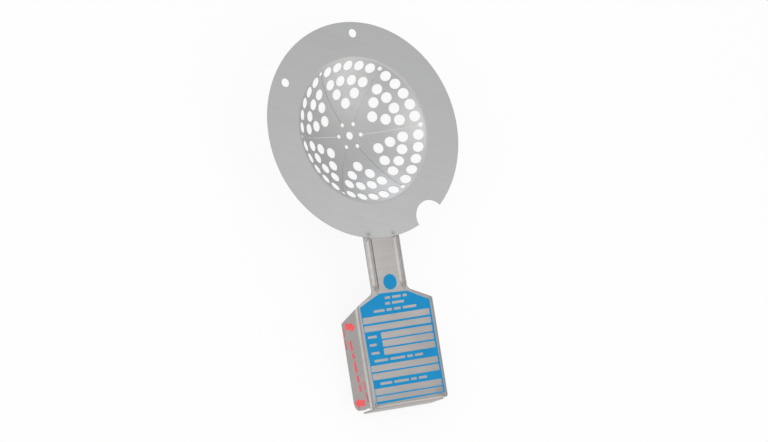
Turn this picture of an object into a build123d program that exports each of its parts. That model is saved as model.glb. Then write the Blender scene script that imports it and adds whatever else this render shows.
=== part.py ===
from build123d import *
import os
from math import asin, cos, degrees, radians, sin, sqrt

# Rupture disc: a domed, perforated and slit stainless section with a flat flange, the
# clear film that seals it, the ring that traps the film, and a folded stainless tag.
# Millimetres. The origin is the centre of the flange's upper face, on the concave side.
# +Z points out of the hollow of the dome, and the tag hangs out towards -Y.

# Flange and dome
flange_radius = 58.5
sheet = 0.4               # thickness of the perforated section
dome_depth = 14.7         # from the flange's upper face to the bottom of the hollow
crown_radius = 70.2       # the flatter arc about the dome's centre
shoulder_radius = 48.8    # the tighter arc from the crown to the rim
crown_edge = 15.4         # distance from the axis at which the two arcs meet
rim_bend = 2.0            # bend from the dome into the flange, on the upper face

# Perforation: six petals between six slits
petals = 6
slit_angle = -1.5         # first slit, from +X
slit_width = 0.25
slit_inner = 6.85
slit_outer = 37.0
inner_relief = 1.15       # radius of the small hole at a slit's inner end
outer_relief = 1.25       # radius of the small hole at a slit's outer end
centre_hole = 2.15
vent_hole = 2.92          # radius of the large holes
# Distance from the axis of each row of large holes, and their angles in a petal
vent_rows = (
    (17.2, (0.0,)),
    (22.6, (-14.2, 14.2)),
    (28.7, (-20.8, -6.95, 6.95, 20.8)),
    (35.6, (-21.9, -10.95, 0.0, 10.95, 21.9)),
)

# Features of the flange
notch_radius = 9.2
notch_centre = 59.2       # distance of the notch's centre from the axis
notch_angle = -59.7
locating_hole = 2.35
locating_places = ((6.1, 52.05), (-41.55, 30.2))
weld_places = ((-11.0, -55.6), (4.25, -56.5))
weld_radius = 1.1
weld_depth = 0.12

# Film and ring, nested under the perforated section
film = 0.25
film_radius = 48.0
ring_inner = 40.6
ring_thickness = 0.5

# Tag: one sheet folded into a shallow channel neck and a deep, open-backed box
tag_sheet = 0.8
tag_bend = 2.5            # outer radius of every fold
tag_droop = 6.0           # the neck leans back from the flange by this many degrees
tag_offset = -1.45        # the tag's middle line, beside the disc's own axis
tongue_start = -52.0      # the tongue runs from here to the flange's edge
hinge = -58.05            # where the neck leaves the flange
neck_width = 21.25
neck_depth = 2.9
tag_width = 49.9
tag_depth = 16.0
shoulder_end = 35.3       # from the hinge to the corners of the shoulders
shoulder_slope = 0.462    # the shoulder's edge across the front
side_slope = 0.4          # the same edge where it goes on down the side panel
tag_end = 89.1            # from the hinge to the bottom edge
corner_gap = 3.4          # between the bottom flap and each side panel
flap_depth = 14.0
flap_lean = 6.0           # the flap is folded a little short of square
heel_length = 3.5         # cut corner of a side panel, along the tag
heel_depth = 4.8          # the same cut, across the panel
toe_radius = 1.8          # rounded bottom corners of the front
fillet_radius = 3.0       # between the neck and the shoulders

os.makedirs("parts", exist_ok=True)

# The three arc centres of the half section, as distance from the axis and height
crown_centre = (0.0, crown_radius - dome_depth)
crown_spread = asin(crown_edge / crown_radius)
shoulder_centre = (
    (crown_radius - shoulder_radius) * sin(crown_spread),
    crown_centre[1] - (crown_radius - shoulder_radius) * cos(crown_spread),
)
bend_reach = shoulder_radius + rim_bend
bend_drop = shoulder_centre[1] + rim_bend
bend_centre = (shoulder_centre[0] + sqrt(bend_reach**2 - bend_drop**2), -rim_bend)


def pressed_line(depth, outer_radius):
    """Half section of the surface that lies `depth` below the upper face."""
    crown = crown_radius + depth
    shoulder = shoulder_radius + depth
    joint = (crown * sin(crown_spread), crown_centre[1] - crown * cos(crown_spread))
    bend_angle = asin((bend_centre[0] - shoulder_centre[0]) / bend_reach)
    bend_start = (
        shoulder_centre[0] + shoulder * sin(bend_angle),
        shoulder_centre[1] - shoulder * cos(bend_angle),
    )
    crown_arc = TangentArc((0, crown_centre[1] - crown), joint, tangent=(1, 0))
    shoulder_arc = TangentArc(joint, bend_start, tangent=crown_arc % 1)
    TangentArc(bend_start, (bend_centre[0], -depth), tangent=shoulder_arc % 1)
    Line((bend_centre[0], -depth), (outer_radius, -depth))


def pressed_section(upper, lower, outer_radius):
    """Closed half section of a sheet between two depths below the upper face."""
    with BuildLine(Plane.XY) as outline:
        pressed_line(upper, outer_radius)
        pressed_line(lower, outer_radius)
        Line((0, -dome_depth - upper), (0, -dome_depth - lower))
        Line((outer_radius, -upper), (outer_radius, -lower))
    return outline.edges()


def on_dome(distance, angle):
    """Plane on the hollow face of the dome, square to the sheet."""
    centre, radius = crown_centre, crown_radius
    if distance > crown_edge:
        centre, radius = shoulder_centre, shoulder_radius
    lean = asin((distance - centre[0]) / radius)
    turn = radians(angle)
    return Plane(
        origin=(distance * cos(turn), distance * sin(turn), centre[1] - radius * cos(lean)),
        z_dir=(-sin(lean) * cos(turn), -sin(lean) * sin(turn), cos(lean)),
    )


slit_angles = [slit_angle + 360 / petals * index for index in range(petals)]
petal_angles = [angle + 180 / petals for angle in slit_angles]
vent_planes = [
    on_dome(distance, petal + offset)
    for petal in petal_angles
    for distance, offsets in vent_rows
    for offset in offsets
]
inner_planes = [on_dome(slit_inner, angle) for angle in slit_angles]
outer_planes = [on_dome(slit_outer, angle) for angle in slit_angles]
punch = 4 * sheet         # long enough to pass the sheet on both sides

# The perforated section: pressed from one sheet, punched and slit before forming
with BuildPart() as perforated_section:
    with BuildSketch(Plane.XZ):
        make_face(pressed_section(0, sheet, flange_radius))
    revolve(axis=Axis.Z)
    with Locations(*vent_planes):
        Cylinder(vent_hole, punch, mode=Mode.SUBTRACT)
    with Locations(*inner_planes):
        Cylinder(inner_relief, punch, mode=Mode.SUBTRACT)
    with Locations(*outer_planes):
        Cylinder(outer_relief, punch, mode=Mode.SUBTRACT)
    with Locations((0, 0, -dome_depth)):
        Cylinder(centre_hole, punch, mode=Mode.SUBTRACT)
    with PolarLocations((slit_inner + slit_outer) / 2, petals, start_angle=slit_angle):
        Box(slit_outer - slit_inner, slit_width, 3 * dome_depth, mode=Mode.SUBTRACT)
    notch_turn = radians(notch_angle)
    with Locations((notch_centre * cos(notch_turn), notch_centre * sin(notch_turn), 0)):
        Cylinder(notch_radius, punch, mode=Mode.SUBTRACT)
    with Locations(*locating_places):
        Hole(locating_hole)
    # Each spot weld leaves a shallow round dimple in the flange
    dimple_radius = (weld_radius**2 + weld_depth**2) / (2 * weld_depth)
    with Locations(*[(x, y, dimple_radius - weld_depth) for x, y in weld_places]):
        Sphere(dimple_radius, mode=Mode.SUBTRACT)
perforated_section.part.label = "perforated_section"
export_step(perforated_section.part, "parts/perforated_section.step")

# The seal: a clear film that lies against the convex side and closes every hole
with BuildPart() as seal_film:
    with BuildSketch(Plane.XZ):
        make_face(pressed_section(sheet, sheet + film, film_radius))
    revolve(axis=Axis.Z)
seal_film.part.label = "seal_film"
export_step(seal_film.part, "parts/seal_film.step")

# The retaining ring: a flat stamped ring that traps the film against the flange
with BuildPart() as retaining_ring:
    with BuildSketch(Plane.XY.offset(-sheet - film)):
        Circle(film_radius)
        Circle(ring_inner, mode=Mode.SUBTRACT)
    extrude(amount=-ring_thickness)
retaining_ring.part.label = "retaining_ring"
export_step(retaining_ring.part, "parts/retaining_ring.step")

# Planes of the tag. On tag_front, +X is across the tag and -Y runs down it.
droop = radians(tag_droop)
tag_front = Plane(
    origin=(tag_offset, hinge, -sheet),
    x_dir=(1, 0, 0),
    z_dir=(0, -sin(droop), cos(droop)),
)


def across_tag(distance):
    """Plane square to the tag, `distance` down from the hinge; its Y is the tag's normal."""
    return Plane(
        origin=tag_front.from_local_coords((0, -distance, 0)),
        x_dir=tag_front.x_dir,
        z_dir=-tag_front.y_dir,
    )


def channel_section(width, depth):
    """Folded sheet in section: a flat web with both sides bent back."""
    with BuildLine(Plane.XY) as outline:
        FilletPolyline(
            (-width / 2, -depth),
            (-width / 2, 0),
            (width / 2, 0),
            (width / 2, -depth),
            radius=tag_bend,
        )
        offset(amount=tag_sheet, side=Side.RIGHT)
    return outline.edges()


def shoulder_cut(side):
    """Plane through a shoulder's edge, on the front and on down the side panel."""
    return Plane(
        origin=tag_front.from_local_coords((side * tag_width / 2, -shoulder_end, 0)),
        x_dir=tag_front.from_local_coords(Vector(side, -shoulder_slope, 0))
        - tag_front.origin,
        z_dir=tag_front.from_local_coords(Vector(-side * shoulder_slope, -1, side_slope))
        - tag_front.origin,
    )


neck_run_out = shoulder_end - shoulder_slope * (tag_width - neck_width) / 2
flap_start = tag_end - tag_bend - 1.0
flap_width = tag_width - 2 * corner_gap
front_end = tag_end - 0.6

# The tag: tongue, neck and box folded from one sheet
with BuildPart() as tag:
    # Box: front and side panels, cut along the shoulders
    with BuildSketch(across_tag(neck_run_out)):
        make_face(channel_section(tag_width, tag_depth))
    extrude(amount=front_end - neck_run_out)
    split(bisect_by=shoulder_cut(1), keep=Keep.TOP)
    split(bisect_by=shoulder_cut(-1), keep=Keep.TOP)
    # The lower back corner of each side panel is cut off
    heel = Plane(
        origin=tag_front.from_local_coords((0, heel_length - tag_end, -tag_depth)),
        x_dir=tag_front.x_dir,
        z_dir=tag_front.from_local_coords(Vector(0, heel_depth, heel_length))
        - tag_front.origin,
    )
    split(bisect_by=heel, keep=Keep.TOP)
    # The front's lower corners are rounded
    with BuildSketch(tag_front):
        for side in (-1, 1):
            corner = (side * tag_width / 2, -front_end)
            with BuildLine():
                start = (corner[0] - side * toe_radius, corner[1])
                end = (corner[0], corner[1] + toe_radius)
                Polyline(start, corner, end)
                TangentArc(start, end, tangent=(side, 0))
            make_face()
    extrude(amount=-tag_bend, mode=Mode.SUBTRACT)
    # Room between the side panels for the bottom flap's fold
    with BuildSketch(tag_front):
        with Locations((0, -flap_start)):
            Rectangle(flap_width, 2 * tag_bend, align=(Align.CENTER, Align.MAX))
    extrude(amount=-tag_sheet, mode=Mode.SUBTRACT)
    # Bottom flap, folded back between the side panels
    flap_side = Plane(
        origin=tag_front.from_local_coords((-flap_width / 2, 0, 0)),
        x_dir=-tag_front.y_dir,
        z_dir=tag_front.x_dir,
    )
    flap_drift = flap_depth * sin(radians(flap_lean))
    with BuildSketch(flap_side):
        with BuildLine():
            FilletPolyline(
                (flap_start, 0),
                (tag_end, 0),
                (tag_end + flap_drift, flap_depth),
                radius=tag_bend,
            )
            offset(amount=tag_sheet, side=Side.LEFT)
        make_face()
    extrude(amount=flap_width)
    # Neck: a shallow channel whose sides run out at the shoulders
    with BuildSketch(across_tag(0)):
        make_face(channel_section(neck_width, neck_depth))
    extrude(amount=neck_run_out + tag_bend)
    # Tongue: flat under the flange, where it is spot welded
    with BuildSketch(Plane.XY.offset(-sheet)):
        with Locations((tag_offset, hinge)):
            Rectangle(neck_width, tongue_start - hinge, align=(Align.CENTER, Align.MIN))
        fillet(vertices().group_by(Axis.Y)[-1], toe_radius)
    extrude(amount=-tag_sheet)
tag.part.label = "tag"
export_step(tag.part, "parts/tag.step")
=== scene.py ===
import math

import bmesh
import bpy
from mathutils import Matrix, Vector


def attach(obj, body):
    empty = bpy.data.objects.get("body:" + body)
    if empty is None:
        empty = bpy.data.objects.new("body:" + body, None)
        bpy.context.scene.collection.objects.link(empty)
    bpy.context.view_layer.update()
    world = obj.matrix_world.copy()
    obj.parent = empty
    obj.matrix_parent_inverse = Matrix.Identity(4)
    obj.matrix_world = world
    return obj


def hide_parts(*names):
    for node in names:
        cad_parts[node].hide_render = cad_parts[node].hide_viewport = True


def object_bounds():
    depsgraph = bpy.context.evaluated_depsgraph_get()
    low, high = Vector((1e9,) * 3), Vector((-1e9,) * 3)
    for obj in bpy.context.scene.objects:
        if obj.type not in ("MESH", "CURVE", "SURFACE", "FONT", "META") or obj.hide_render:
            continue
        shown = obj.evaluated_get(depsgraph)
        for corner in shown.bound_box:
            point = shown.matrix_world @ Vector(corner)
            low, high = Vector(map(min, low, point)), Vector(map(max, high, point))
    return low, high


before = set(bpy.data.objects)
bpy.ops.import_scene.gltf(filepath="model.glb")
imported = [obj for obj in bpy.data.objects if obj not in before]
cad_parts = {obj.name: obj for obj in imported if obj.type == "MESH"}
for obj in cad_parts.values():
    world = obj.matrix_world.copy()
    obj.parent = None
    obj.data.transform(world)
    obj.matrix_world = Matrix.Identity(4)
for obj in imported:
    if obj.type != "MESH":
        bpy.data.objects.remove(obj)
cad_low, cad_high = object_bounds()
scene = bpy.context.scene
scene.view_settings.view_transform = "Standard"


# ---------------------------------------------------------------------------
# Studio: a pale matt floor under the disc, a white surround and four softboxes.
# The floor keeps the faint contact shadow; beyond it everything stays white.

floor_mesh = bpy.data.meshes.new("studio_floor")
floor_form = bmesh.new()
bmesh.ops.create_grid(floor_form, x_segments=2, y_segments=2, size=6.0)
floor_form.to_mesh(floor_mesh)
floor_form.free()
floor = bpy.data.objects.new("studio_floor", floor_mesh)
scene.collection.objects.link(floor)
floor.location = (0, 0, cad_low.z)


def seen_directly(tree):
    """1 where a camera, glossy or transmitted ray meets the surface, else 0."""
    path = tree.nodes.new("ShaderNodeLightPath")
    seen = path.outputs["Is Camera Ray"]
    for other in ("Is Glossy Ray", "Is Transmission Ray"):
        either = tree.nodes.new("ShaderNodeMath")
        either.operation = "MAXIMUM"
        tree.links.new(seen, either.inputs[0])
        tree.links.new(path.outputs[other], either.inputs[1])
        seen = either.outputs[0]
    return seen


white_share = 0.88             # the rest of the floor takes light and shadow
floor_paint = bpy.data.materials.new("studio_floor_white")
floor_paint.use_nodes = True
tree = floor_paint.node_tree
tree.nodes.clear()
whiteness = tree.nodes.new("ShaderNodeMath")
whiteness.operation = "MULTIPLY"
whiteness.inputs[1].default_value = white_share
tree.links.new(seen_directly(tree), whiteness.inputs[0])
matt = tree.nodes.new("ShaderNodeBsdfDiffuse")
matt.inputs["Color"].default_value = (0.93, 0.93, 0.93, 1)
white = tree.nodes.new("ShaderNodeEmission")
floor_blend = tree.nodes.new("ShaderNodeMixShader")
tree.links.new(whiteness.outputs[0], floor_blend.inputs[0])
tree.links.new(matt.outputs[0], floor_blend.inputs[1])
tree.links.new(white.outputs[0], floor_blend.inputs[2])
floor_out = tree.nodes.new("ShaderNodeOutputMaterial")
tree.links.new(floor_blend.outputs[0], floor_out.inputs["Surface"])
floor.data.materials.append(floor_paint)

world = bpy.data.worlds.new("white_surround")
world.use_nodes = True
scene.world = world
tree = world.node_tree
tree.nodes.clear()
path = tree.nodes.new("ShaderNodeLightPath")
surround = tree.nodes.new("ShaderNodeBackground")
surround.inputs["Color"].default_value = (0.99, 0.995, 1.0, 1)
surround.inputs["Strength"].default_value = 0.66
backdrop = tree.nodes.new("ShaderNodeBackground")
backdrop.inputs["Color"].default_value = (1, 1, 1, 1)
pick = tree.nodes.new("ShaderNodeMixShader")
tree.links.new(path.outputs["Is Camera Ray"], pick.inputs[0])
tree.links.new(surround.outputs[0], pick.inputs[1])
tree.links.new(backdrop.outputs[0], pick.inputs[2])
world_out = tree.nodes.new("ShaderNodeOutputWorld")
tree.links.new(pick.outputs[0], world_out.inputs["Surface"])


def soft_lamp(name, place, aim, size, power, colour):
    """A square softbox that faces the point `aim`, with its side in metres and power in watts."""
    lamp = bpy.data.lights.new(name, "AREA")
    lamp.shape = "SQUARE"
    lamp.size = size
    lamp.energy = power
    lamp.color = colour
    holder = bpy.data.objects.new(name, lamp)
    scene.collection.objects.link(holder)
    holder.location = place
    holder.rotation_mode = "QUATERNION"
    holder.rotation_quaternion = (Vector(aim) - Vector(place)).to_track_quat("-Z", "Y")


# The key lights the tag's left side panel, the fill the dome's wall away from the tag and
# the rear one the wall next to it. The near one keeps the flange from looking flat.
middle = (0.0, -0.05, 0.0)
flange_side = (-0.04, -0.04, 0.0)
soft_lamp("key_softbox", (-1.25, 0.15, 0.85), middle, size=1.5, power=9.0, colour=(1.0, 0.99, 0.97))
soft_lamp("fill_softbox", (0.9, -1.35, 0.6), middle, size=1.1, power=4.8, colour=(1.0, 0.98, 0.95))
soft_lamp("near_softbox", (0.16, -0.11, 0.36), flange_side, size=0.2, power=0.16, colour=(1.0, 1.0, 1.0))
soft_lamp("rear_softbox", (0.35, 1.5, 0.40), middle, size=1.1, power=6.0, colour=(0.90, 0.93, 1.0))

# Camera: a long lens well above the left of the disc, rolled so that the tag hangs down.
# It starts straight above the aim, looking down, and is rolled, tipped and turned about it.
camera_aim = (0.00021, -0.04975, 0.0)
camera_distance = 2.95351
camera_turn = math.radians(-78.4163)
camera_tip = math.radians(33.3631)
camera_roll = math.radians(68.0062)
camera_lens = bpy.data.cameras.new("camera")
camera_lens.lens = 262.5
camera_lens.sensor_width = 36.0
camera_lens.clip_end = 20.0
camera = bpy.data.objects.new("camera", camera_lens)
scene.collection.objects.link(camera)
camera.matrix_world = (
    Matrix.Translation(camera_aim)
    @ Matrix.Rotation(camera_turn, 4, "Z")
    @ Matrix.Rotation(camera_tip, 4, "X")
    @ Matrix.Rotation(camera_roll, 4, "Z")
    @ Matrix.Translation((0, 0, camera_distance))
)
scene.camera = camera


# ---------------------------------------------------------------------------
# Perforated section: the pressed stainless disc with its flange, petals and holes.
# Rolled sheet with a fine straight grain, slightly clouded by annealing; painted shade darkens
# where the punch has rounded its edges. Two spot welds hold the tag to the flange.


def new_group(name, inputs, outputs):
    """An empty shader node group with named sockets, as (tree, inlet, outlet)."""
    group = bpy.data.node_groups.new(name, "ShaderNodeTree")
    for label, kind, value in inputs:
        socket = group.interface.new_socket(label, in_out="INPUT", socket_type=kind)
        if value is not None:
            socket.default_value = value
    for label, kind in outputs:
        group.interface.new_socket(label, in_out="OUTPUT", socket_type=kind)
    return group, group.nodes.new("NodeGroupInput"), group.nodes.new("NodeGroupOutput")


def arithmetic(tree, operation, first, second, clamp=False):
    """A math node whose two inputs are sockets or plain numbers."""
    node = tree.nodes.new("ShaderNodeMath")
    node.operation = operation
    node.use_clamp = clamp
    for socket, value in zip(node.inputs, (first, second)):
        if isinstance(value, (int, float)):
            socket.default_value = value
        else:
            tree.links.new(value, socket)
    return node.outputs[0]


def noise(tree, coordinates, scale, detail, roughness=0.5):
    """The grey output of a noise texture, from 0 to 1."""
    node = tree.nodes.new("ShaderNodeTexNoise")
    tree.links.new(coordinates, node.inputs["Vector"])
    node.inputs["Scale"].default_value = scale
    node.inputs["Detail"].default_value = detail
    node.inputs["Roughness"].default_value = roughness
    return node.outputs["Fac"]


def stretched(tree, coordinates, scale, turn=0.0):
    """The coordinates scaled along each axis and turned about Z."""
    node = tree.nodes.new("ShaderNodeMapping")
    tree.links.new(coordinates, node.inputs["Vector"])
    node.inputs["Rotation"].default_value = (0, 0, turn)
    node.inputs["Scale"].default_value = scale
    return node.outputs[0]


# Rolling grain: long fine lines along the object's X, broad clouds and a few scratches
rolling_grain, inlet, outlet = new_group(
    "rolling_grain",
    [("Coordinates", "NodeSocketVector", None)],
    [
        ("Streaks", "NodeSocketFloat"),
        ("Clouds", "NodeSocketFloat"),
        ("Scratches", "NodeSocketFloat"),
        ("Height", "NodeSocketFloat"),
    ],
)
place = inlet.outputs["Coordinates"]
fine_stretch = stretched(rolling_grain, place, (60, 2600, 2600))
fine_lines = noise(rolling_grain, fine_stretch, scale=1.0, detail=3.0)
broad_stretch = stretched(rolling_grain, place, (14, 420, 420))
broad_lines = noise(rolling_grain, broad_stretch, scale=1.0, detail=2.0)
streaks = arithmetic(rolling_grain, "ADD", fine_lines, broad_lines)
streaks = arithmetic(rolling_grain, "MULTIPLY", streaks, 0.5)
clouds = noise(rolling_grain, place, scale=34.0, detail=3.0, roughness=0.55)
scratch_stretch = stretched(rolling_grain, place, (26, 900, 500), turn=0.5)
scratch_field = noise(rolling_grain, scratch_stretch, scale=1.0, detail=2.0)
scratches = arithmetic(rolling_grain, "SUBTRACT", scratch_field, 0.66)
scratches = arithmetic(rolling_grain, "MULTIPLY", scratches, 9.0, clamp=True)
orange_peel = noise(rolling_grain, place, scale=1500.0, detail=2.0)
line_height = arithmetic(rolling_grain, "MULTIPLY", fine_lines, 0.7)
peel_height = arithmetic(rolling_grain, "MULTIPLY", orange_peel, 0.3)
scratch_depth = arithmetic(rolling_grain, "MULTIPLY", scratches, 0.4)
height = arithmetic(rolling_grain, "ADD", line_height, peel_height)
height = arithmetic(rolling_grain, "SUBTRACT", height, scratch_depth)
for label, value in (
    ("Streaks", streaks),
    ("Clouds", clouds),
    ("Scratches", scratches),
    ("Height", height),
):
    rolling_grain.links.new(value, outlet.inputs[label])

# Painted edge shading: a mask of the outer edges, broken up so that no edge is even. The section's
# finish paints shade with it, the ring's and tag's a painted highlight; it is not wear
painted_edge_shading, inlet, outlet = new_group(
    "painted_edge_shading",
    [("Width", "NodeSocketFloat", 0.0003), ("Strength", "NodeSocketFloat", 3.0)],
    [("Mask", "NodeSocketFloat")],
)
rounded = painted_edge_shading.nodes.new("ShaderNodeBevel")
rounded.samples = 6
painted_edge_shading.links.new(inlet.outputs["Width"], rounded.inputs["Radius"])
surface = painted_edge_shading.nodes.new("ShaderNodeNewGeometry")
closeness = painted_edge_shading.nodes.new("ShaderNodeVectorMath")
closeness.operation = "DOT_PRODUCT"
painted_edge_shading.links.new(rounded.outputs[0], closeness.inputs[0])
painted_edge_shading.links.new(surface.outputs["Normal"], closeness.inputs[1])
mask = arithmetic(painted_edge_shading, "SUBTRACT", 1.0, closeness.outputs["Value"])
mask = arithmetic(painted_edge_shading, "MULTIPLY", mask, inlet.outputs["Strength"], clamp=True)
where = painted_edge_shading.nodes.new("ShaderNodeTexCoord")
broken = noise(painted_edge_shading, where.outputs["Object"], scale=380.0, detail=2.0)
broken = arithmetic(painted_edge_shading, "MULTIPLY", broken, 1.6, clamp=True)
mask = arithmetic(painted_edge_shading, "MULTIPLY", mask, broken)
painted_edge_shading.links.new(mask, outlet.inputs["Mask"])


def blend(tree, share, first, second):
    """Colour mix of two sockets or plain RGB triples."""
    node = tree.nodes.new("ShaderNodeMix")
    node.data_type = "RGBA"
    for number, value in ((0, share), (6, first), (7, second)):
        socket = node.inputs[number]
        if isinstance(value, (int, float)):
            socket.default_value = value
        elif isinstance(value, tuple):
            socket.default_value = (*value, 1)
        else:
            tree.links.new(value, socket)
    return node.outputs[2]


def ranged(tree, value, low, high, floor_value, ceiling_value):
    """A value remapped from one range to another, clamped."""
    node = tree.nodes.new("ShaderNodeMapRange")
    tree.links.new(value, node.inputs["Value"])
    node.inputs["From Min"].default_value = low
    node.inputs["From Max"].default_value = high
    node.inputs["To Min"].default_value = floor_value
    node.inputs["To Max"].default_value = ceiling_value
    return node.outputs[0]


def bumped(tree, height, strength, distance):
    """The normal of a surface raised by a grey height, at most a distance in metres."""
    node = tree.nodes.new("ShaderNodeBump")
    node.inputs["Strength"].default_value = strength
    node.inputs["Distance"].default_value = distance
    tree.links.new(height, node.inputs["Height"])
    return node.outputs[0]


def new_finish(name):
    """An empty finish, as (material, node tree, Principled shader)."""
    material = bpy.data.materials.new(name)
    material.use_nodes = True
    return material, material.node_tree, material.node_tree.nodes["Principled BSDF"]


def coat(piece, material):
    """Gives the whole piece one finish."""
    piece.data.materials.clear()
    piece.data.materials.append(material)


def stainless(
    name, dark, light, cloud_tint, painted_edge_tint, edge_width, edge_strength, smooth, dull, grain_turn, relief
):
    """Rolled stainless sheet, with its grain turned in the plane of the sheet."""
    material, tree, shader = new_finish(name)
    shader.inputs["Metallic"].default_value = 1.0
    where = tree.nodes.new("ShaderNodeTexCoord")
    grain = tree.nodes.new("ShaderNodeGroup")
    grain.node_tree = rolling_grain
    turned = stretched(tree, where.outputs["Object"], (1, 1, 1), grain_turn)
    tree.links.new(turned, grain.inputs["Coordinates"])
    edge_light = tree.nodes.new("ShaderNodeGroup")
    edge_light.node_tree = painted_edge_shading
    edge_light.inputs["Width"].default_value = edge_width
    edge_light.inputs["Strength"].default_value = edge_strength
    colour = blend(tree, ranged(tree, grain.outputs["Streaks"], 0.35, 0.65, 0, 1), dark, light)
    colour = blend(tree, ranged(tree, grain.outputs["Clouds"], 0.4, 0.75, 0, 0.6), colour, cloud_tint)
    colour = blend(tree, ranged(tree, grain.outputs["Scratches"], 0, 1, 0, 0.35), colour, light)
    # Painted shade or painted highlight along the edges: a dark edge tint darkens them, a light one
    # brightens them
    colour = blend(tree, ranged(tree, edge_light.outputs["Mask"], 0, 1, 0, 0.8), colour, painted_edge_tint)
    tree.links.new(colour, shader.inputs["Base Color"])
    roughness = ranged(tree, grain.outputs["Clouds"], 0.3, 0.7, smooth, dull)
    polished = arithmetic(tree, "MULTIPLY", grain.outputs["Scratches"], 0.06)
    roughness = arithmetic(tree, "SUBTRACT", roughness, polished)
    tree.links.new(roughness, shader.inputs["Roughness"])
    normal = bumped(tree, grain.outputs["Height"], relief, 0.00003)
    tree.links.new(normal, shader.inputs["Normal"])
    return material


section_steel = stainless(
    "stainless_section",
    dark=(0.545, 0.545, 0.545),
    light=(0.575, 0.575, 0.575),
    cloud_tint=(0.57, 0.565, 0.555),
    # Painted shade: the edges of the holes and slits are darkened in colour
    painted_edge_tint=(0.30, 0.30, 0.31),
    edge_width=0.00045,
    edge_strength=2.5,
    smooth=0.52,
    dull=0.60,
    grain_turn=0.35,
    relief=0.12,
)

# Heat tint round each spot weld: straw outside, grey blue in the middle. Each tint is
# full up to its first distance from the weld's centre, and gone at the second.
weld_places = ((-0.0110, -0.0556, 0.0), (0.00425, -0.0565, 0.0))
straw_reach = (0.0010, 0.0024)
straw_tint = (0.42, 0.37, 0.27)
burnt_reach = (0.0006, 0.0012)
burnt_tint = (0.20, 0.20, 0.22)
tree = section_steel.node_tree
colour_input = tree.nodes["Principled BSDF"].inputs["Base Color"]
section_colour = colour_input.links[0].from_socket
where = tree.nodes.new("ShaderNodeTexCoord")
for weld_place in weld_places:
    gap = tree.nodes.new("ShaderNodeVectorMath")
    gap.operation = "DISTANCE"
    tree.links.new(where.outputs["Object"], gap.inputs[0])
    gap.inputs[1].default_value = weld_place
    distance = gap.outputs["Value"]
    straw = ranged(tree, distance, *straw_reach, 0.28, 0.0)
    burnt = ranged(tree, distance, *burnt_reach, 0.3, 0.0)
    section_colour = blend(tree, straw, section_colour, straw_tint)
    section_colour = blend(tree, burnt, section_colour, burnt_tint)
tree.links.new(section_colour, colour_input)
coat(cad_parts["perforated_section"], section_steel)


# ---------------------------------------------------------------------------
# Seal film: a clear fluoropolymer film pressed against the back of the dome.
# It closes every hole and slit, and is trapped by the ring behind the flange.

film_clear, tree, shader = new_finish("clear_film")
shader.inputs["IOR"].default_value = 1.35
where = tree.nodes.new("ShaderNodeTexCoord")
haze = noise(tree, where.outputs["Object"], scale=90.0, detail=3.0)
film_tint = blend(tree, haze, (0.93, 0.95, 0.96), (0.99, 0.99, 1.0))
tree.links.new(film_tint, shader.inputs["Base Color"])
tree.links.new(ranged(tree, haze, 0.3, 0.7, 0.03, 0.09), shader.inputs["Alpha"])
tree.links.new(ranged(tree, haze, 0.3, 0.7, 0.12, 0.3), shader.inputs["Roughness"])
ripple = noise(tree, where.outputs["Object"], scale=260.0, detail=2.0)
tree.links.new(bumped(tree, ripple, 0.15, 0.00005), shader.inputs["Normal"])
coat(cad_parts["seal_film"], film_clear)


# ---------------------------------------------------------------------------
# Retaining ring: a flat ring stamped from thin stainless, behind the film.
# Its grain runs across the section's, because it was cut from another sheet.

ring_steel = stainless(
    "stainless_ring",
    dark=(0.46, 0.46, 0.455),
    light=(0.58, 0.58, 0.57),
    cloud_tint=(0.52, 0.515, 0.50),
    # Painted highlight: the ring's edges are brightened in colour
    painted_edge_tint=(0.70, 0.70, 0.69),
    edge_width=0.0003,
    edge_strength=5.0,
    smooth=0.36,
    dull=0.48,
    grain_turn=1.3,
    relief=0.4,
)
coat(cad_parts["retaining_ring"], ring_steel)


# ---------------------------------------------------------------------------
# Tag: one brushed stainless sheet, spot welded under the flange. Two ribs are pressed
# into its neck, the box's sides are folded back and its bottom flap is folded between
# them. It is drawn here unfolded, as (down, across), and then bent along its folds.

MM = 0.001
sheet = 0.8
edge_round = 0.12              # every cut edge is deburred
fold_radius = 2.5              # outside every fold
droop = math.radians(6)
half_width = 24.95
panel_depth = 16.0
neck_edges = (-12.9, 9.3)
shoulder_slopes = (0.55, 0.44)
shoulder_end = 35.3
panel_slope = 0.4
box_end = 88.5
throat = 3.0                   # rounding between the neck and a shoulder
panel_corner = 1.2             # rounding of a side panel's upper back corner
heel = 4.5                     # rounding of its lower back corner
toes = (0.8, 3.0)              # rounding of the front's lower corners, left and right
toe_run = 4.0                  # a toe's rounding runs out this far along the side panel
tongue_top = -6.05             # the tongue lies flat under the flange
tongue_corner = 1.8
rib_places = (-9.9, 7.1)
rib_half_width = 1.75
rib_height = 1.1
rib_span = (1.1, 23.4)         # full height of a rib, between its ends
rib_ends = (1.0, 5.0)          # a blunt end at the flange and a long one at the box
rib_fullness = 1.25            # 1 gives a parabola across the rib, more a softer foot
flap_half = 21.55
flap_fold = 86.85              # start of the flap's fold
flap_turn = math.radians(84)
flap_end = 102.3
flap_corner = 1.2
slot_top = 85.8                # a short slot frees the flap from the box's corner
slot_width = 0.4
fold_steps = 8                 # flat strips in each fold
toe_steps = 4
front_half = half_width - fold_radius
fold_arc = fold_radius * math.pi / 2
panel_edge = front_half + fold_arc + panel_depth - fold_radius

# The tag's own frame: X across, Y down it from the hinge, Z out of its front
tag_across = Vector((1, 0, 0))
tag_down = Vector((0, -math.cos(droop), -math.sin(droop)))
tag_out = Vector((0, -math.sin(droop), math.cos(droop)))
hinge = Vector((-1.45, -58.05, -0.4))


def on_tag(down, across, out):
    """Point in metres from millimetres in the tag's own frame."""
    if down < 0:
        return Vector((hinge.x + across, hinge.y - down, hinge.z + out)) * MM
    return (hinge + down * tag_down + across * tag_across + out * tag_out) * MM


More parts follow.
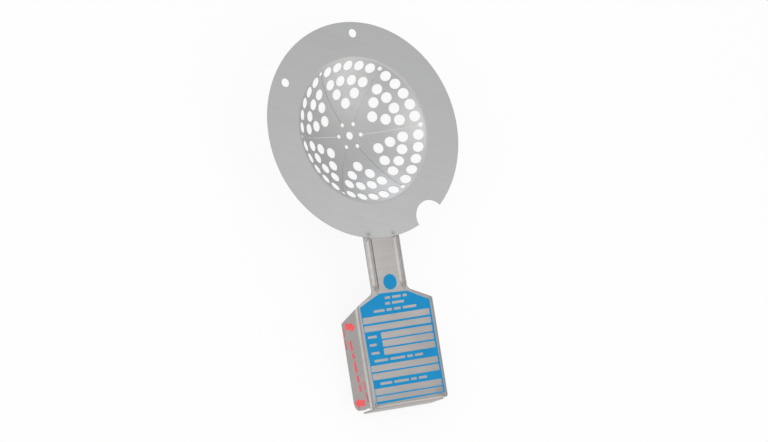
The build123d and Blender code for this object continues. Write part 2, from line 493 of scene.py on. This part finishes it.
def folded(reach):
    """Across and out, for a distance across the unfolded sheet."""
    side = math.copysign(1, reach)
    beyond = abs(reach) - front_half
    if beyond <= 0:
        return reach, 0.0
    if beyond <= fold_arc:
        angle = beyond / fold_radius
        across = front_half + fold_radius * math.sin(angle)
        return side * across, fold_radius * (math.cos(angle) - 1)
    return side * half_width, -fold_radius - (beyond - fold_arc)


def shoulder(reach, slope):
    """Where the shoulder's edge lies, down the tag, at a distance across the sheet."""
    across, out = folded(reach)
    return shoulder_end - slope * (half_width - abs(across)) - panel_slope * out


def corner(centre, radius, first, last, steps=6):
    """Points of an arc, as (down, across); angles in degrees from the downward direction."""
    points = []
    for step in range(steps + 1):
        angle = math.radians(first + (last - first) * step / steps)
        points.append((centre[0] + radius * math.cos(angle), centre[1] + radius * math.sin(angle)))
    return points


def half_outline(edge, slope, toe):
    """One side of the unfolded tag, from the tongue to the flap, for an edge across > 0."""
    foot = shoulder_end - slope * (half_width - edge)
    run = math.sqrt(1 + slope**2)
    reach = throat * (run - slope)
    lean = math.degrees(math.atan(slope))
    points = corner((tongue_top + tongue_corner, edge - tongue_corner), tongue_corner, 180, 90)
    points += corner((foot - reach, edge + throat), throat, -90, -lean)
    # Shoulder, over the fold and on to the back edge of the side panel
    for step in range(fold_steps + 1):
        across = front_half + fold_arc * step / fold_steps
        points.append((shoulder(across, slope), across))
    # The shoulder's edge slopes, so the first corner is less than a quarter round
    panel_top = shoulder(panel_edge, slope) + 0.75 * panel_corner
    points += corner((panel_top, panel_edge - panel_corner), panel_corner, 160, 90, 4)
    points += corner((box_end - heel, panel_edge - heel), heel, 90, 0, 8)
    # Bottom edge, back over the fold, rising to the toe
    for step in range(toe_steps + 1):
        share = step / toe_steps
        rise = toe * math.sin(share * math.pi / 2)
        points.append((box_end - rise, front_half + fold_arc + toe_run * (1 - share)))
    for step in reversed(range(fold_steps)):
        across = front_half + fold_arc * step / fold_steps
        inside = max(folded(across)[0] - (half_width - toe), 0)
        points.append((box_end - toe + math.sqrt(toe**2 - inside**2), across))
    # Slot and bottom flap
    points.append((box_end, flap_half + slot_width))
    slot_round = slot_width / 2
    points += corner((slot_top + slot_round, flap_half + slot_round), slot_round, 90, 270)
    points += corner((flap_end - flap_corner, flap_half - flap_corner), flap_corner, 90, 0, 4)
    return points


right_side = half_outline(neck_edges[1], shoulder_slopes[1], toes[1])
left_side = half_outline(-neck_edges[0], shoulder_slopes[0], toes[0])
unfolded = right_side + [(down, -across) for down, across in reversed(left_side)]

tag_form = bmesh.new()
corners = [tag_form.verts.new((across, -down, 0)) for down, across in unfolded]
tag_form.faces.new(corners)


def score(form, point, normal):
    """Divides every face along a straight line, so that the sheet can bend there."""
    everything = list(form.verts) + list(form.edges) + list(form.faces)
    bmesh.ops.bisect_plane(form, geom=everything, dist=1e-5, plane_co=point, plane_no=normal)


def score_along(places):
    """Scores lines that run down the tag, at these distances across it."""
    for place in places:
        score(tag_form, (place, 0, 0), (1, 0, 0))


def score_across(places):
    """Scores lines that run across the tag, at these distances down it."""
    for place in places:
        score(tag_form, (0, -place, 0), (0, 1, 0))


# The folds come first, then a fine grid under the ribs, and a coarse one over the box
for side in (-1, 1):
    score_along(side * (front_half + fold_arc * step / fold_steps) for step in range(fold_steps + 1))
flap_arc = fold_radius * flap_turn
score_across(flap_fold + flap_arc * step / fold_steps for step in range(fold_steps + 1))
for rib_place in rib_places:
    score_along(rib_place + rib_half_width * step / 5 for step in range(-6, 7))
score_across([0])
score_across(0.2 + 0.5 * step for step in range(57))
score_across(range(34, 90, 8))
score_along((-15, -5, 0, 5, 15))


def rib_rise(down, across):
    """Height of the ribs above the neck."""
    nearest = min(rib_places, key=lambda place: abs(across - place))
    above = max(rib_span[0] - down, 0) / rib_ends[0]
    below = max(down - rib_span[1], 0) / rib_ends[1]
    away = math.hypot((across - nearest) / rib_half_width, above + below)
    if away >= 1:
        return 0.0
    return rib_height * (1 - away**2) ** rib_fullness


for vertex in tag_form.verts:
    reach, down = vertex.co.x, -vertex.co.y
    if down > flap_fold and abs(reach) < flap_half + slot_width / 2:
        angle = min((down - flap_fold) / fold_radius, flap_turn)
        rest = down - flap_fold - fold_radius * angle
        bent_down = flap_fold + fold_radius * math.sin(angle) + rest * math.cos(angle)
        bent_out = fold_radius * (math.cos(angle) - 1) - rest * math.sin(angle)
        vertex.co = on_tag(bent_down, reach, bent_out)
    else:
        across, out = folded(reach)
        vertex.co = on_tag(down, across, out + rib_rise(down, across))
bmesh.ops.recalc_face_normals(tag_form, faces=tag_form.faces)
tag_form.normal_update()
facing = sum(face.calc_area() * face.normal.dot(tag_out) for face in tag_form.faces)
if facing < 0:
    bmesh.ops.reverse_faces(tag_form, faces=tag_form.faces)
tag_mesh = bpy.data.meshes.new("tag_sheet")
tag_form.to_mesh(tag_mesh)
tag_form.free()
tag_sheet = bpy.data.objects.new("tag_sheet", tag_mesh)
scene.collection.objects.link(tag_sheet)
thickness = tag_sheet.modifiers.new("sheet", "SOLIDIFY")
thickness.thickness = sheet * MM
thickness.offset = -1
thickness.use_even_offset = True
rounding = tag_sheet.modifiers.new("deburred_edges", "BEVEL")
rounding.width = edge_round * MM
rounding.segments = 2
rounding.limit_method = "ANGLE"
rounding.angle_limit = math.radians(50)

# The modifiers are applied, and the sheet is shaded smooth up to a sharp angle
graph = bpy.context.evaluated_depsgraph_get()
tag_mesh = bpy.data.meshes.new_from_object(tag_sheet.evaluated_get(graph))
tag_sheet.modifiers.clear()
tag_sheet.data = tag_mesh
for polygon in tag_mesh.polygons:
    polygon.use_smooth = True
tag_mesh.set_sharp_from_angle(angle=math.radians(35))

tag_steel = stainless(
    "stainless_tag",
    dark=(0.365, 0.35, 0.34),
    light=(0.41, 0.392, 0.382),
    cloud_tint=(0.38, 0.362, 0.352),
    # Painted highlight: the tag's cut edges are brightened in colour
    painted_edge_tint=(0.70, 0.70, 0.69),
    edge_width=0.00035,
    edge_strength=5.0,
    smooth=0.36,
    dull=0.46,
    grain_turn=0.02,
    relief=0.25,
)
coat(tag_sheet, tag_steel)
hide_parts("tag")
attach(tag_sheet, "root")


# ---------------------------------------------------------------------------
# Blue print: a flat coat of ink screened on the front of the tag, with bare fields
# left in it for values that are stamped later, and a plain dot on the neck.

ink_rise = 0.02                # middle of the ink, above the steel
ink_half = 0.01                # half the ink's thickness


def flat_shape(name, outlines):
    """A thin filled shape in metres from closed outlines in millimetres; inner ones are holes."""
    drawing = bpy.data.curves.new(name, "CURVE")
    drawing.dimensions = "2D"
    drawing.fill_mode = "BOTH"
    drawing.extrude = ink_half
    for outline in outlines:
        spline = drawing.splines.new("POLY")
        spline.points.add(len(outline) - 1)
        for point, (x, y) in zip(spline.points, outline):
            point.co = (x, y, 0, 1)
        spline.use_cyclic_u = True
    holder = bpy.data.objects.new(name, drawing)
    scene.collection.objects.link(holder)
    graph = bpy.context.evaluated_depsgraph_get()
    shape = bpy.data.meshes.new_from_object(holder.evaluated_get(graph))
    bpy.data.objects.remove(holder)
    piece = bpy.data.objects.new(name, shape)
    scene.collection.objects.link(piece)
    return piece


def field(top, bottom, left, right, radius=0.5):
    """Outline of a bare field with round corners, as (across, down)."""
    points = []
    for down, across, first in (
        (top + radius, left + radius, 270),
        (top + radius, right - radius, 180),
        (bottom - radius, right - radius, 90),
        (bottom - radius, left + radius, 0),
    ):
        for point in corner((down, across), radius, first, first - 90, 4):
            points.append((point[1], point[0]))
    return points


blue_outline = [
    (-8.9, 29.3), (-6.5, 29.2), (8.8, 29.8), (21.8, 36.0),
    (22.4, 85.9), (-20.9, 86.7), (-22.0, 35.0),
]
# Blank rows for stamped values, as their top and bottom edges down the tag. The print
# leans a little on the tag, so each row starts further right than the one above it.
full_rows = ((40.7, 44.05), (45.15, 48.35), (66.3, 69.6), (70.45, 73.85), (78.5, 81.9), (82.65, 85.3))
short_rows = ((49.55, 52.95), (53.75, 57.2), (58.1, 61.6))
full_row_left = -21.4
short_row_left = -11.7
row_right = 20.7
print_top = 41
print_lean = 0.8 / 45
bare_fields = []
for rows, left in ((full_rows, full_row_left), (short_rows, short_row_left)):
    for top, bottom in rows:
        drift = (top - print_top) * print_lean
        bare_fields.append(field(top, bottom, left + drift, row_right + drift))
# Rows of plain bare bars above, beside and between them: the middle of the row down the
# tag, its left end, and the bars' lengths
bar_rows = (
    (31.9, -5.6, (3.4, 5.4, 2.6)),
    (34.9, -5.9, (3.0, 7.6)),
    (38.2, -13.8, (6.8, 3.4, 4.2, 8.6)),
    (51.3, -20.2, (5.6,)),
    (55.5, -19.9, (4.4,)),
    (59.9, -19.6, (5.0,)),
    (64.0, -18.6, (8.6, 9.4, 3.6, 5.2)),
    (76.2, -17.4, (7.4, 9.4, 3.6, 5.2)),
)
bar_half = 0.65
bar_gap = 1.3
bar_corner = 0.3
for down, start, lengths in bar_rows:
    left = start + (down - print_top) * print_lean
    for length in lengths:
        bare_fields.append(field(down - bar_half, down + bar_half, left, left + length, bar_corner))
        left += length + bar_gap
blue_print = flat_shape("blue_print", [blue_outline, *bare_fields])
dot_centre = (23.9, -0.9)
dot_radius = 4.15
dot_points = corner(dot_centre, dot_radius, 0, 354, 59)
dot_outline = [(across, down) for down, across in dot_points]
neck_dot = flat_shape("neck_dot", [dot_outline])
for piece in (blue_print, neck_dot):
    for vertex in piece.data.vertices:
        vertex.co = on_tag(vertex.co.y, vertex.co.x, ink_rise + vertex.co.z)


def ink(name, thin, full, gloss):
    """Screen-printed ink: slightly uneven in colour, with a fine mesh texture."""
    material, tree, shader = new_finish(name)
    shader.inputs["Specular IOR Level"].default_value = 0.25
    where = tree.nodes.new("ShaderNodeTexCoord")
    spread = noise(tree, where.outputs["Object"], scale=120.0, detail=4.0, roughness=0.6)
    speckle = noise(tree, where.outputs["Object"], scale=2400.0, detail=2.0)
    colour = blend(tree, ranged(tree, spread, 0.3, 0.7, 0, 1), thin, full)
    colour = blend(tree, ranged(tree, speckle, 0.62, 0.75, 0, 0.3), colour, thin)
    tree.links.new(colour, shader.inputs["Base Color"])
    tree.links.new(ranged(tree, speckle, 0.3, 0.7, gloss, gloss + 0.12), shader.inputs["Roughness"])
    tree.links.new(bumped(tree, speckle, 0.25, 0.00003), shader.inputs["Normal"])
    return material


blue_ink = ink("blue_ink", (0.0, 0.275, 0.575), (0.0, 0.24, 0.52), 0.5)
for piece in (blue_print, neck_dot):
    coat(piece, blue_ink)
    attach(piece, "root")


# ---------------------------------------------------------------------------
# Red print: two plain arrows on the left side panel, one towards the front and one
# towards the back, with rows of short bars between them.


def arrow(tail, tip, width=5.6, head=4.2, shaft_share=0.6):
    """Outline of a block arrow from its tail to its tip, as (down, out)."""
    start, end = Vector(tail), Vector(tip)
    along = (end - start).normalized()
    beside = Vector((-along.y, along.x))
    neck = end - along * head
    barb = beside * width / 2
    shaft = barb * shaft_share
    points = (start + shaft, neck + shaft, neck + barb, end, neck - barb, neck - shaft, start - shaft)
    return [tuple(point) for point in points]


def bars(start, end, height, lengths, gap=1.2):
    """Outlines of short bars in a row that runs from one point towards another."""
    origin = Vector(start)
    along = (Vector(end) - origin).normalized()
    beside = Vector((-along.y, along.x)) * height / 2
    outlines = []
    travelled = 0.0
    for length in lengths:
        first = origin + along * travelled
        last = first + along * length
        bar = (first - beside, last - beside, last + beside, first + beside)
        outlines.append([tuple(point) for point in bar])
        travelled += length + gap
    return outlines


red_outlines = [
    arrow((43.5, -12.7), (44.9, -2.65)),
    arrow((84.8, -5.0), (84.3, -15.0)),
    *bars((44.6, -14.9), (56.0, -15.0), 0.9, (4.6, 5.4)),
    *bars((51.4, -10.0), (78.8, -7.2), 1.9, (5.4, 3.2, 6.4, 4.0, 3.6)),
    *bars((73.3, -3.0), (84.5, -1.9), 0.9, (4.8, 5.2)),
]
red_print = flat_shape("red_print", red_outlines)
for vertex in red_print.data.vertices:
    vertex.co = on_tag(vertex.co.x, -half_width - ink_rise - vertex.co.z, vertex.co.y)
red_ink = ink("red_ink", (0.90, 0.13, 0.14), (0.86, 0.075, 0.09), 0.42)
coat(red_print, red_ink)
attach(red_print, "root")
